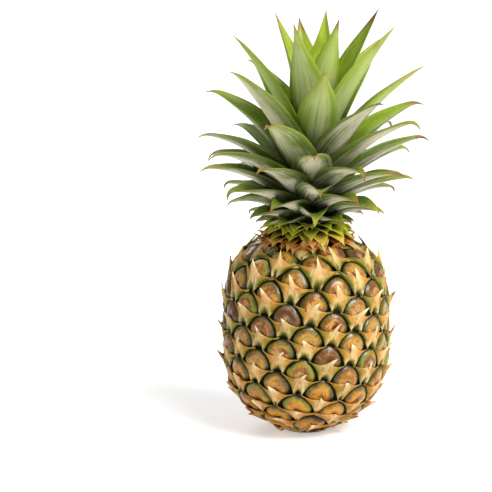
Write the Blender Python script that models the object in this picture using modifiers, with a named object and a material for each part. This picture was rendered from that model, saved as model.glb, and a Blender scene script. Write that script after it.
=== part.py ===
"""A whole pineapple, standing on its base with its crown on.

Units are metres and +Z is up. The origin is the middle of the cut stalk's face, on which the
fruit stands with the flattened foot round it. The pieces are the fruit with its eyes, the cut
stalk in its base, the neck of stem with its sterile bracts, and the leafy crown.
"""

from itertools import combinations
from math import atan2, cos, exp, hypot, pi, radians, sin

import bmesh
import bpy
import numpy as np
from mathutils import Vector
from mathutils.geometry import delaunay_2d_cdt

# The fruit's skin at the bottom of its grooves: height and radius, from foot to shoulder.
SKIN = (
    (0.0, 0.0165),
    (0.0045, 0.0195),
    (0.0081, 0.0250),
    (0.0122, 0.0325),
    (0.0204, 0.0420),
    (0.0342, 0.0518),
    (0.0535, 0.0578),
    (0.0830, 0.0586),
    (0.1080, 0.0566),
    (0.1260, 0.0508),
    (0.1340, 0.0425),
    (0.1390, 0.0330),
    (0.1418, 0.0245),
)
SKIN_STEPS = 40  # points of the smooth curve between two skin points
SLOPE_STEP = 0.0004  # the skin's slope is taken over this much to either side
FOOT_SIDES = 22
TOP_SIDES = 16

# The eyes sit on one spiral, as on every pineapple, close to the golden angle.
EYES = 121
BARE_EYES = 2  # places on the spiral that stay bare, at either end
EYE_TURN = radians(137.35)
FIRST_EYE = radians(256.4)
RIM_MARGIN = 0.0036  # the eyes keep this far from the foot's and the top's edges
FADE = 0.0180  # nearer to those edges than this, the eyes stand less high
EYE_RADIUS = 0.0108  # of a full-grown eye, which takes the relief's full height

# The outline of an eye, as shares of the way to the border that it has with its neighbours
CORNER_SHARE = 0.93
SIDE_SHARE = 0.95
BULGE = 0.13  # a side that faces up is this much further out, and one that faces down further in
SHORT_SIDE = 0.0015  # two corners nearer to each other than this count as one

# The relief of an eye: a direction in degrees from the east, a share of the way to its border,
# and a height over the skin. An arm, a foot and the bract's edge lie towards a corner.
DOME = ((40, 0.80, 0.0031), (90, 0.82, 0.0033), (140, 0.80, 0.0031))
ARM = (0.76, 0.0029)
ARM_DIRECTIONS = (-8, 172)
FOOT = (0.76, 0.0022)
FOOT_DIRECTIONS = (236, 292)
HOLLOW = ((24, 0.42, 0.0031), (156, 0.42, 0.0031))  # where the dome dips behind the bract
EDGE = (0.46, 0.0045)  # the bract's upper edge
FACE = (268, 0.62, 0.0034)  # the bract's lower face
SPINE_ROOT = ((15, 0.13, 0.0052), (165, 0.13, 0.0052), (270, 0.22, 0.0054))
SPINE_TIP = (0.62, 0.0074)

# The cut stalk
STALK_RADIUS = 0.0098
STALK_LENGTH = 0.0070
STALK_TAPER = 0.92
STALK_SIDES = 18
FIT_GAP = 0.0004  # all round the stalk in its socket

# The neck and the crown's stem
NECK_GAP = 0.0004  # between the fruit's top, the neck and the crown
NECK_RADIUS = 0.0235
NECK_HEIGHT = 0.0086
NECK_BRACTS = 17
NECK_SIDES = 20
BRACT_ROOT = 0.78  # share of the neck's radius at which a bract starts
BRACT_LOW, BRACT_HIGH = 0.0055, 0.0065  # of their roots over the neck's underside
BRACT_LENGTH = 0.0185
BRACT_WIDTH = 0.0110
BRACT_LEAN, BRACT_LEAN_TIP = 80, 126
BRACT_CUP = 0.3
BRACT_STATIONS = 4
STEM_BOTTOM_RADIUS = 0.0230
STEM_TOP_RADIUS = 0.0075
STEM_LENGTH = 0.0820
STEM_SIDES = 14
LEAF_ROOT = 0.7  # share of the stem's radius at which a leaf starts
CROWN_LEAN = 0.07  # sideways drift to +X for each metre of height

# The crown's leaves also sit on one spiral, with 5 turns to 13 leaves.
LEAVES = 66
LEAF_TURN = 2 * pi * 5 / 13
FRONT_LEAF = 17  # this leaf, and each thirteenth one from it, faces -Y
LEAF_STATIONS = 6
LEAF_SEED = 3
# Leaf number against height up the stem, length, greatest width, and its lean from upright
# at the root and at the tip, in degrees. What lies between two rows is interpolated.
LEAF_GROWTH = (
    (0, 0.0044, 0.020, 0.015, 72, 112),
    (6, 0.0056, 0.025, 0.018, 72, 118),
    (12, 0.0078, 0.035, 0.021, 69, 122),
    (17, 0.0106, 0.049, 0.024, 65, 118),
    (24, 0.0147, 0.062, 0.026, 61, 110),
    (30, 0.0189, 0.074, 0.028, 57, 100),
    (37, 0.0238, 0.084, 0.030, 53, 95),
    (43, 0.0285, 0.090, 0.030, 50, 88),
    (50, 0.0390, 0.100, 0.031, 42, 72),
    (56, 0.0504, 0.107, 0.032, 32, 54),
    (61, 0.0625, 0.105, 0.032, 19, 30),
    (65, 0.0700, 0.094, 0.027, 7, 12),
)
LEAF_THICKNESS = 0.0013
LEAF_TIP_WIDTH = 0.0016
WIDEST_AT = 0.22  # share of the leaf's length
ROOT_WIDTH = 0.78  # share of the greatest width
TAPER_LATE = 2.0  # above 1, the leaf keeps its width for longer
BEND_LATE = 1.4  # above 1, it bends more towards its tip
CUP = 0.55  # how far a leaf's edges rise over its middle, as a share of its half width
FLATTER_TIP = 0.35  # share of that rise which is lost at the tip
AZIMUTH_SPREAD = 4  # degrees to either side, as for the leans
LEAN_SPREAD = 3
LEAN_TIP_SPREAD = 10
LENGTH_SPREAD = 0.06  # share of the length

CROWN_BASE = SKIN[-1][0] + NECK_HEIGHT + 2 * NECK_GAP
SHARP_FROM = radians(40)  # edges that bend more than this stay crisp
TINY = 1e-7  # metres, the least distance that counts
NEARLY_ALONG = 1e-4  # the least cosine at which a direction counts as meeting a line


def clear_scene():
    for obj in list(bpy.data.objects):
        bpy.data.objects.remove(obj)


def material(name, colour, roughness):
    made = bpy.data.materials.new(name)
    made.use_nodes = True
    shader = made.node_tree.nodes["Principled BSDF"]
    shader.inputs["Base Color"].default_value = (*colour, 1.0)
    shader.inputs["Roughness"].default_value = roughness
    shader.inputs["Metallic"].default_value = 0.0
    return made


def add_object(name, bm, collection, look=None):
    mesh = bpy.data.meshes.new(name)
    bm.to_mesh(mesh)
    bm.free()
    mesh.shade_smooth()
    mesh.set_sharp_from_angle(angle=SHARP_FROM)
    obj = bpy.data.objects.new(name, mesh)
    if look:
        mesh.materials.append(look)
    collection.objects.link(obj)
    return obj


def smooth_curve(points, steps):
    """A Catmull-Rom curve through the points, as an array."""
    p = np.array(points, float)
    padded = np.vstack([2 * p[0] - p[1], p, 2 * p[-1] - p[-2]])
    t = np.arange(steps)[:, None] / steps
    spans = []
    for a, b, c, d in zip(padded, padded[1:], padded[2:], padded[3:]):
        squared = 2 * a - 5 * b + 4 * c - d
        cubed = 3 * b - a - 3 * c + d
        spans.append(0.5 * (2 * b + (c - a) * t + squared * t**2 + cubed * t**3))
    return np.vstack([*spans, p[-1:]])


class Skin:
    """The turned surface under the eyes, measured along its meridian from the foot's edge."""

    def __init__(self, points):
        curve = smooth_curve(points, SKIN_STEPS)
        self.z, self.r = curve[:, 0], curve[:, 1]
        step = np.hypot(np.diff(self.z), np.diff(self.r))
        middle = (self.r[1:] + self.r[:-1]) / 2
        self.s = np.concatenate([[0], np.cumsum(step)])
        self.area = np.concatenate([[0], np.cumsum(step * 2 * pi * middle)])
        self.rises = np.concatenate([[0], np.cumsum(step / middle)])
        self.length = self.s[-1]

    def radius(self, s):
        return float(np.interp(s, self.s, self.r))

    def at_area_share(self, share):
        return float(np.interp(share * self.area[-1], self.area, self.s))

    def rise(self, s):
        """Height on a map of the skin that keeps its angles, as Mercator's keeps the Earth's."""
        return float(np.interp(s, self.s, self.rises))

    def at_rise(self, rise):
        return float(np.interp(rise, self.rises, self.s))

    def point(self, s, angle, height):
        """The point this high over the skin, at a distance along the meridian and an angle."""
        r, z = self.radius(s), float(np.interp(s, self.s, self.z))
        dr = self.radius(s + SLOPE_STEP) - self.radius(s - SLOPE_STEP)
        dz = float(np.interp(s + SLOPE_STEP, self.s, self.z) - np.interp(s - SLOPE_STEP, self.s, self.z))
        size = hypot(dr, dz)
        far = r + height * dz / size
        return Vector((far * cos(angle), far * sin(angle), max(0.0, z - height * dr / size)))

    def flat(self, s, angle):
        """The skin laid flat as a disc, again with its angles kept: its rim is the foot's edge."""
        far = exp(-self.rise(s))
        return Vector((far * cos(angle), far * sin(angle)))


class Eye:
    """One fruitlet. Its plane is the map round its middle: east along the skin, and north up it."""

    def __init__(self, skin, number):
        self.skin = skin
        self.s = skin.at_area_share((number + 0.5) / EYES)
        self.angle = (FIRST_EYE + number * EYE_TURN) % (2 * pi)
        self.scale = skin.radius(self.s)
        self.rise = skin.rise(self.s)

    def find_border(self, eyes):
        """The lines midway to the neighbours, and the corners where they meet round this eye.

        A line is the direction that it faces, as its east and north, and its distance.
        """
        top, foot = self.skin.rise(self.skin.length - RIM_MARGIN), self.skin.rise(RIM_MARGIN)
        self.lines = [
            (0.0, 1.0, self.scale * (top - self.rise)),
            (0.0, -1.0, self.scale * (self.rise - foot)),
        ]
        for other in eyes:
            turn = (other.angle - self.angle + pi) % (2 * pi) - pi
            x, y = self.scale * turn, self.scale * (other.rise - self.rise)
            far = hypot(x, y)
            if 0 < far < 5 * EYE_RADIUS:
                self.lines.append((x / far, y / far, far / 2))
        self.corners = []
        for (ax, ay, a), (bx, by, b) in combinations(self.lines, 2):
            turned = ax * by - ay * bx
            if abs(turned) > NEARLY_ALONG:
                x, y = (a * by - b * ay) / turned, (ax * b - bx * a) / turned
                if all(x * nx + y * ny < far + TINY for nx, ny, far in self.lines):
                    self.corners.append((x, y))
        self.corners.sort(key=lambda c: atan2(c[1], c[0]))
        radius = sum(hypot(*c) for c in self.corners) / len(self.corners)
        self.size = min(1.0, radius / EYE_RADIUS, self.s / FADE, (self.skin.length - self.s) / FADE)

    def outline(self):
        """The eye's edge: its corners, and the middles of its sides, which bulge upwards."""
        found = []
        for (ax, ay), (bx, by) in zip(self.corners, self.corners[1:] + self.corners[:1]):
            side = hypot(bx - ax, by - ay)
            if side < SHORT_SIDE:
                continue
            north = (ax - bx) / side
            bulge = SIDE_SHARE + BULGE * north
            found.append((ax * CORNER_SHARE, ay * CORNER_SHARE))
            found.append(((ax + bx) / 2 * bulge, (ay + by) / 2 * bulge))
        return found

    def corner(self, degrees):
        """The corner nearest to a direction from the east."""
        x, y = cos(radians(degrees)), sin(radians(degrees))
        return max(self.corners, key=lambda c: (c[0] * x + c[1] * y) / hypot(*c))

    def reach(self, degrees):
        """The point of the cell's border in a direction from the east."""
        x, y = cos(radians(degrees)), sin(radians(degrees))
        met = [(nx * x + ny * y, far) for nx, ny, far in self.lines]
        far = min(far / facing for facing, far in met if facing > NEARLY_ALONG)
        return far * x, far * y

    def put(self, east, north, height):
        """A point of the eye, as it lies on the flat disc and as it stands on the fruit."""
        s = self.skin.at_rise(self.rise + north / self.scale)
        angle = self.angle + east / self.scale
        return self.skin.flat(s, angle), self.skin.point(s, angle, height * self.size)


def eye_relief(eye):
    """The eye's points as (flat point, solid point), and the creases between them."""
    points, creases = [], []

    def add(places, closed=False):
        first = len(points)
        points.extend(eye.put(*place) for place in places)
        found = list(range(first, len(points)))
        creases.extend(zip(found, found[1:]))
        if closed:
            creases.append((found[-1], found[0]))
        return found

    def toward(reached, share, height):
        return reached[0] * share, reached[1] * share, height

    add([(x, y, 0.0) for x, y in eye.outline()], closed=True)
    right, left = (eye.corner(degrees) for degrees in ARM_DIRECTIONS)
    dome = [toward(eye.reach(degrees), share, height) for degrees, share, height in DOME]
    rim = add([toward(right, *ARM), *dome, toward(left, *ARM)])
    for degrees in FOOT_DIRECTIONS:
        add([toward(eye.corner(degrees), *FOOT)])
    for degrees, share, height in (*HOLLOW, FACE):
        add([toward(eye.reach(degrees), share, height)])
    edge_right, edge_left = add([toward(right, *EDGE)])[0], add([toward(left, *EDGE)])[0]
    spine = [toward(eye.reach(degrees), share, height) for degrees, share, height in SPINE_ROOT]
    root = add(spine, closed=True)
    creases.extend([(rim[0], edge_right), (edge_right, root[0])])
    creases.extend([(root[1], edge_left), (edge_left, rim[-1])])
    north = SPINE_TIP[0] * eye.reach(90)[1]
    middle = sum((points[i][0] for i in root), Vector((0, 0))) / len(root)
    points.append((middle, eye.put(0.0, north, SPINE_TIP[1])[1]))
    return points, creases


def ring(skin, s, sides):
    points = []
    for k in range(sides):
        angle = 2 * pi * k / sides
        points.append((skin.flat(s, angle), skin.point(s, angle, 0.0)))
    return points, [(k, (k + 1) % sides) for k in range(sides)]


def make_fruit(collection):
    """One closed body: the relief of all eyes over the skin, a flat top, and a foot with a socket."""
    skin = Skin(SKIN)
    eyes = [Eye(skin, number) for number in range(BARE_EYES, EYES - BARE_EYES)]
    for eye in eyes:
        eye.find_border(eyes)
    groups = [ring(skin, 0.0, FOOT_SIDES), ring(skin, skin.length, TOP_SIDES)]
    groups += [eye_relief(eye) for eye in eyes]
    flat, solid, creases = [], [], []
    for points, lines in groups:
        creases += [(a + len(flat), b + len(flat)) for a, b in lines]
        flat += [p[0] for p in points]
        solid += [p[1] for p in points]
    _, _, faces, made_from, _, _ = delaunay_2d_cdt(flat, creases, [], 0, TINY / 100)
    bm = bmesh.new()
    verts = [bm.verts.new(solid[sources[0]]) for sources in made_from]
    for face in faces:
        bm.faces.new([verts[i] for i in face])
    vert_of = {source: vert for vert, sources in zip(verts, made_from) for source in sources}
    foot = [vert_of[k] for k in range(FOOT_SIDES)]
    top = [vert_of[FOOT_SIDES + k] for k in range(TOP_SIDES)]
    close_foot(bm, foot)
    flatten_top(bm, top)
    return add_object("fruit", bm, collection, material("fruit_skin", (0.42, 0.30, 0.08), 0.5))


def close_foot(bm, outer):
    """The flat foot, and the socket that the stalk grows from."""
    radius = STALK_RADIUS + FIT_GAP
    rings = []
    for z in (0.0, STALK_LENGTH + FIT_GAP):
        rings.append([bm.verts.new((v.co.x, v.co.y, 0.0)) for v in outer])
        for vert in rings[-1]:
            vert.co = vert.co.normalized() * radius + Vector((0, 0, z))
    for upper, lower in ((outer, rings[0]), (rings[0], rings[1])):
        for k in range(len(outer)):
            after = (k + 1) % len(outer)
            bm.faces.new((upper[k], lower[k], lower[after], upper[after]))
    bm.faces.new(reversed(rings[1]))


def flatten_top(bm, top):
    """Makes one face of the flat top, which the neck stands on."""
    inside = set(top)
    faces = [f for f in bm.faces if all(v in inside for v in f.verts)]
    bmesh.ops.dissolve_faces(bm, faces=faces)


def make_stalk(collection):
    bm = bmesh.new()
    bmesh.ops.create_cone(
        bm,
        cap_ends=True,
        segments=STALK_SIDES,
        radius1=STALK_RADIUS,
        radius2=STALK_RADIUS * STALK_TAPER,
        depth=STALK_LENGTH,
    )
    bmesh.ops.translate(bm, verts=bm.verts, vec=(0, 0, STALK_LENGTH / 2))
    return add_object("cut_stalk", bm, collection, material("stalk", (0.55, 0.42, 0.22), 0.8))


def blade(root, azimuth, length, width, lean, lean_tip, cup, stations=LEAF_STATIONS):
    """A channelled leaf's upper face. It leaves its root at one lean from upright and bends to
    another, widens over its first quarter, and then tapers to its point."""
    out = Vector((cos(azimuth), sin(azimuth), 0))
    across = Vector((-sin(azimuth), cos(azimuth), 0))
    middle = Vector(root)
    bm = bmesh.new()
    rows = []
    for k in range(stations):
        t = k / (stations - 1)
        angle = radians(lean + (lean_tip - lean) * t**BEND_LATE)
        along = out * sin(angle) + Vector((0, 0, cos(angle)))
        inward = Vector((0, 0, sin(angle))) - out * cos(angle)
        if t < WIDEST_AT:
            half = width / 2 * (ROOT_WIDTH + (1 - ROOT_WIDTH) * sin(pi / 2 * t / WIDEST_AT))
        else:
            half = width / 2 * (1 - ((t - WIDEST_AT) / (1 - WIDEST_AT)) ** TAPER_LATE)
        half = max(half, LEAF_TIP_WIDTH / 2)
        raised = middle + inward * half * cup * (1 - FLATTER_TIP * t)
        rows.append([bm.verts.new(p) for p in (raised - across * half, middle, raised + across * half)])
        middle = middle + along * length / (stations - 1)
    for low, high in zip(rows, rows[1:]):
        for side in (0, 1):
            bm.faces.new((low[side], high[side], high[side + 1], low[side + 1]))
    return bm


def fuse(name, body, pieces, collection, look):
    """Joins the pieces to the body in one union, and leaves one object."""
    helpers = bpy.data.collections.new(name + "_pieces")
    bpy.context.scene.collection.children.link(helpers)
    for number, piece in enumerate(pieces):
        shell = add_object(f"{name}_{number}", piece, helpers).modifiers.new("thickness", "SOLIDIFY")
        shell.thickness = LEAF_THICKNESS
        shell.offset = -1
        shell.use_even_offset = True
    obj = add_object(name, body, collection, look)
    union = obj.modifiers.new("union", "BOOLEAN")
    union.operation = "UNION"
    union.operand_type = "COLLECTION"
    union.collection = helpers
    graph = bpy.context.evaluated_depsgraph_get()
    mesh = bpy.data.meshes.new_from_object(obj.evaluated_get(graph))
    obj.modifiers.clear()
    obj.data = mesh
    fill_pockets(mesh)
    for helper in list(helpers.objects):
        bpy.data.objects.remove(helper)
    bpy.data.collections.remove(helpers)
    return obj


def fill_pockets(mesh):
    """Keeps the outer shell, so that a pocket that the leaves close off becomes solid."""
    bm = bmesh.new()
    bm.from_mesh(mesh)
    highest = max(bm.faces, key=lambda f: f.calc_center_median().z)
    outer, front = {highest}, [highest]
    while front:
        for edge in front.pop().edges:
            fresh = [f for f in edge.link_faces if f not in outer]
            outer.update(fresh)
            front.extend(fresh)
    bmesh.ops.delete(bm, geom=[f for f in bm.faces if f not in outer], context="FACES")
    bm.to_mesh(mesh)
    bm.free()


def make_neck(collection):
    """The short neck of stem over the fruit, with its ring of sterile bracts."""
    bottom = SKIN[-1][0] + NECK_GAP
    body = bmesh.new()
    bmesh.ops.create_cone(
        body,
        cap_ends=True,
        segments=NECK_SIDES,
        radius1=NECK_RADIUS,
        radius2=STEM_BOTTOM_RADIUS,
        depth=NECK_HEIGHT,
    )
    bmesh.ops.translate(body, verts=body.verts, vec=(0, 0, bottom + NECK_HEIGHT / 2))
    pieces = []
    rng = np.random.default_rng(LEAF_SEED)
    for number in range(NECK_BRACTS):
        azimuth = -pi / 2 + (number - NECK_BRACTS) * LEAF_TURN
        share = number / (NECK_BRACTS - 1)
        root = Vector((cos(azimuth), sin(azimuth), 0)) * NECK_RADIUS * BRACT_ROOT
        root.z = bottom + BRACT_LOW + (BRACT_HIGH - BRACT_LOW) * share
        length = BRACT_LENGTH * (1 + rng.uniform(-LENGTH_SPREAD, LENGTH_SPREAD))
        pieces.append(
            blade(root, azimuth, length, BRACT_WIDTH, BRACT_LEAN, BRACT_LEAN_TIP, BRACT_CUP, BRACT_STATIONS)
        )
    return fuse("neck_bracts", body, pieces, collection, material("bract", (0.50, 0.26, 0.06), 0.7))


def make_crown(collection):
    body = bmesh.new()
    bmesh.ops.create_cone(
        body,
        cap_ends=True,
        segments=STEM_SIDES,
        radius1=STEM_BOTTOM_RADIUS,
        radius2=STEM_TOP_RADIUS,
        depth=STEM_LENGTH,
    )
    bmesh.ops.translate(body, verts=body.verts, vec=(0, 0, CROWN_BASE + STEM_LENGTH / 2))
    growth = np.array(LEAF_GROWTH, float)
    rng = np.random.default_rng(LEAF_SEED)
    pieces = []
    for number in range(LEAVES):
        height, length, width, lean, lean_tip = (
            float(np.interp(number, growth[:, 0], growth[:, column])) for column in range(1, 6)
        )
        azimuth = -pi / 2 + (number - FRONT_LEAF) * LEAF_TURN
        azimuth += radians(rng.uniform(-AZIMUTH_SPREAD, AZIMUTH_SPREAD))
        length *= 1 + rng.uniform(-LENGTH_SPREAD, LENGTH_SPREAD)
        lean += rng.uniform(-LEAN_SPREAD, LEAN_SPREAD)
        lean_tip += rng.uniform(-LEAN_TIP_SPREAD, LEAN_TIP_SPREAD)
        stem = STEM_BOTTOM_RADIUS + (STEM_TOP_RADIUS - STEM_BOTTOM_RADIUS) * height / STEM_LENGTH
        root = Vector((cos(azimuth), sin(azimuth), 0)) * stem * LEAF_ROOT
        root.z = CROWN_BASE + height
        pieces.append(blade(root, azimuth, length, width, lean, lean_tip, CUP))
    for piece in [body, *pieces]:
        for vert in piece.verts:
            vert.co.x += CROWN_LEAN * max(0.0, vert.co.z - CROWN_BASE)
    return fuse("crown", body, pieces, collection, material("leaf", (0.22, 0.33, 0.10), 0.45))


def main():
    clear_scene()
    pineapple = bpy.data.collections.new("pineapple")
    bpy.context.scene.collection.children.link(pineapple)
    make_fruit(pineapple)
    make_stalk(pineapple)
    make_neck(pineapple)
    make_crown(pineapple)


if __name__ == "__main__":
    main()
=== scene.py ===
"""The looks of a whole pineapple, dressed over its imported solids.

Every eye of the fruit is made on its own: a glossy dome, and over its lower half a star-shaped bract
that ends in a spine. The crown has channelled leaves with curled tips, and the neck has papery
bracts and lime-green ones. Sizes are metres and angles on the fruit run round +Z.
"""

import logging
from dataclasses import dataclass, field
from enum import Enum
from itertools import combinations
from math import atan2, cos, hypot, pi, radians, sin
from typing import Any, Callable

import bpy
import numpy as np
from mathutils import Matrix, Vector


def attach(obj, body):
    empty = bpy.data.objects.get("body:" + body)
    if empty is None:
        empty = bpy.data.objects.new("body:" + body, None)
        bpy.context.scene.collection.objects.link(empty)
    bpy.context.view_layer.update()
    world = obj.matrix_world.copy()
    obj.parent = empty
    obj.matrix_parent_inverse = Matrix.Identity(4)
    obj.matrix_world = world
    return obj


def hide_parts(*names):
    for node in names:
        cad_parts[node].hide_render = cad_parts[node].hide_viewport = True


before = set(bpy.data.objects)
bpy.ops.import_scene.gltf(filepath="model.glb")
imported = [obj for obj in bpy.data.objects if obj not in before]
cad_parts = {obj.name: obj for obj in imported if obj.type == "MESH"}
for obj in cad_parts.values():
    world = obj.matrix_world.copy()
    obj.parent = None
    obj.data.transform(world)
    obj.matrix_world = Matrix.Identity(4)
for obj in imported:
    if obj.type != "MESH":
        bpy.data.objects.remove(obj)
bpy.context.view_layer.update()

ROOT_BODY = "root"
GOLDEN_TURN = radians(137.35)
LEAF_TURN = 2 * pi * 5 / 13
AXIS_RADIUS = 0.001
RANDOM_SEED = 11
LEAF_SEED = 3

Colour = tuple[float, float, float]
Pair = tuple[float, float]
Triple = tuple[float, float, float]
log = logging.getLogger("pineapple")


class Slot(Enum):
    """The names of the record's material slots."""

    FRUIT = "fruit_skin"
    BRACT = "bract"
    LEAF = "leaf"


class Node(Enum):
    """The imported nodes."""

    FRUIT = "fruit"
    STALK = "cut_stalk"
    NECK = "neck_bracts"
    CROWN = "crown"


class Cap(Enum):
    """Which row of a grid of rings gets a face of its own."""

    NONE = "none"
    FIRST = "first"
    LAST = "last"


# Shading


def math_method(operation: str, swapped: bool = False) -> Callable[..., "Value"]:
    """Writes a method of Value that adds one Math node.

    Args:
        operation: The node's operation.
        swapped: Whether the value comes second, as in 1 - value.

    Returns:
        The method.
    """

    def method(self: "Value", *others: "Value | float") -> "Value":
        """The node's result for the value and the others."""
        values = (*others, self) if swapped else (self, *others)
        return self.result("ShaderNodeMath", {"operation": operation}, dict(enumerate(values)))

    return method


class Value:
    """A number that varies over a surface. Sums with it add Math nodes to its material."""

    __add__ = __radd__ = math_method("ADD")
    __sub__, __rsub__ = math_method("SUBTRACT"), math_method("SUBTRACT", swapped=True)
    __mul__ = __rmul__ = math_method("MULTIPLY")
    __truediv__, __rtruediv__ = math_method("DIVIDE"), math_method("DIVIDE", swapped=True)
    __pow__, __rpow__ = math_method("POWER"), math_method("POWER", swapped=True)
    size = math_method("ABSOLUTE")
    fraction = math_method("FRACT")
    direction = math_method("ARCTAN2")

    def __init__(self, shader: "Shader", socket: bpy.types.NodeSocket) -> None:
        """Wraps an output socket of a shader's node."""
        self.shader = shader
        self.socket = socket

    def result(self, kind: str, settings: dict[str, Any], sockets: dict[Any, Any]) -> "Value":
        """The first output of a new node in the same material."""
        return Value(self.shader, self.shader.node(kind, settings, sockets).outputs[0])

    def step(self, low: float, high: float) -> "Value":
        """A smooth rise from 0 at one value to 1 at another.

        Args:
            low: Where the rise starts. It may be above the other, for a fall.
            high: Where it ends.

        Returns:
            The value between 0 and 1.
        """
        sockets = {"Value": self, "From Min": low, "From Max": high}
        return self.result("ShaderNodeMapRange", {"interpolation_type": "SMOOTHSTEP"}, sockets)


class Shader:
    """A material in the making: one Principled BSDF and what feeds it."""

    def __init__(self, name: str, specular: float = 0.5, **constants: float) -> None:
        """Starts the material.

        Args:
            name: Its name.
            specular: The strength of its plain reflection.
            constants: Other inputs of its surface, named like "coat_roughness" for "Coat Roughness".
        """
        self.material = bpy.data.materials.new(name)
        self.material.use_nodes = True
        self.tree = self.material.node_tree
        self.surface = self.tree.nodes["Principled BSDF"]
        self.set("Specular IOR Level", specular)
        for key, number in constants.items():
            self.set(key.replace("_", " ").title(), number)

    def set(self, name: str, constant: Any) -> None:
        """Sets an input of the surface to a number or a colour."""
        self.surface.inputs[name].default_value = constant

    def node(self, kind: str, settings: dict[str, Any], sockets: dict[Any, Any]) -> bpy.types.Node:
        """Adds a node.

        Args:
            kind: Its type.
            settings: Its properties. A ramp's stops are given as "stops": pairs of a place and a colour.
            sockets: Input names or numbers against a number, a tuple, a Value or an output socket.

        Returns:
            The node.
        """
        made = self.tree.nodes.new(kind)
        for name, value in settings.items():
            if name == "stops":
                while len(made.color_ramp.elements) < len(value):
                    made.color_ramp.elements.new(1.0)
                for element, (place, colour) in zip(made.color_ramp.elements, value):
                    element.position = place
                    element.color = (*colour, 1.0)
            else:
                setattr(made, name, value)
        for name, value in sockets.items():
            if isinstance(value, Value):
                value = value.socket
            if isinstance(value, bpy.types.NodeSocket):
                self.tree.links.new(value, made.inputs[name])
            else:
                made.inputs[name].default_value = value
        return made

    def attribute(self, name: str) -> list[Value]:
        """Reads the three numbers that the mesh keeps for each point.

        Args:
            name: The name that they are kept under.

        Returns:
            The numbers.
        """
        read = self.node("ShaderNodeAttribute", {"attribute_name": name}, {})
        split = self.node("ShaderNodeSeparateXYZ", {}, {0: read.outputs["Vector"]})
        return [Value(self, output) for output in split.outputs]

    def noise(self, scale: float, detail: float = 3.0, where: tuple[Value, ...] = ()) -> Value:
        """Cloudy noise from 0 to 1.

        Args:
            scale: How many clouds there are to a unit.
            detail: How many finer layers lie on the first.
            where: The three coordinates that it is read at. Without them it is read at the point itself.

        Returns:
            The noise.
        """
        if where:
            source = self.node("ShaderNodeCombineXYZ", {}, dict(enumerate(where))).outputs[0]
        else:
            source = self.node("ShaderNodeTexCoord", {}, {}).outputs["Object"]
        made = self.node("ShaderNodeTexNoise", {}, {"Vector": source, "Scale": scale, "Detail": detail})
        return Value(self, made.outputs["Fac"])

    def ramp(self, value: Value, *stops: tuple[float, Colour]) -> bpy.types.NodeSocket:
        """Colours along a value."""
        return self.node("ShaderNodeValToRGB", {"stops": stops}, {"Fac": value}).outputs["Color"]

    def layers(self, colour: Any, *coats: tuple[Value, Any]) -> bpy.types.NodeSocket:
        """Lays colours over one another.

        Args:
            colour: The lowest: a colour, or the socket that gives one.
            coats: Pairs of the share with which the next colour shows, and that colour.

        Returns:
            The socket of the mixed colour.
        """
        for share, coat in coats:
            first, second = ((*c, 1.0) if isinstance(c, tuple) else c for c in (colour, coat))
            sockets = {0: share, 6: first, 7: second}
            colour = self.node("ShaderNodeMix", {"data_type": "RGBA"}, sockets).outputs[2]
        return colour

    def finish(
        self, colour: bpy.types.NodeSocket, height: Value, depth: float, **varied: Value
    ) -> bpy.types.Material:
        """Links what varies and gives the material.

        Args:
            colour: The base colour.
            height: The fine relief, from 0 to 1.
            depth: How deep that relief is, in metres.
            varied: Other inputs that vary, named like "coat_weight" for "Coat Weight".

        Returns:
            The material.
        """
        self.tree.links.new(colour, self.surface.inputs["Base Color"])
        for key, value in varied.items():
            self.tree.links.new(value.socket, self.surface.inputs[key.replace("_", " ").title()])
        bump = self.node("ShaderNodeBump", {}, {"Height": height, "Distance": depth, "Strength": 1.0})
        self.tree.links.new(bump.outputs[0], self.surface.inputs["Normal"])
        return self.material


# Finishes, with their shares and stops listed


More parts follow.
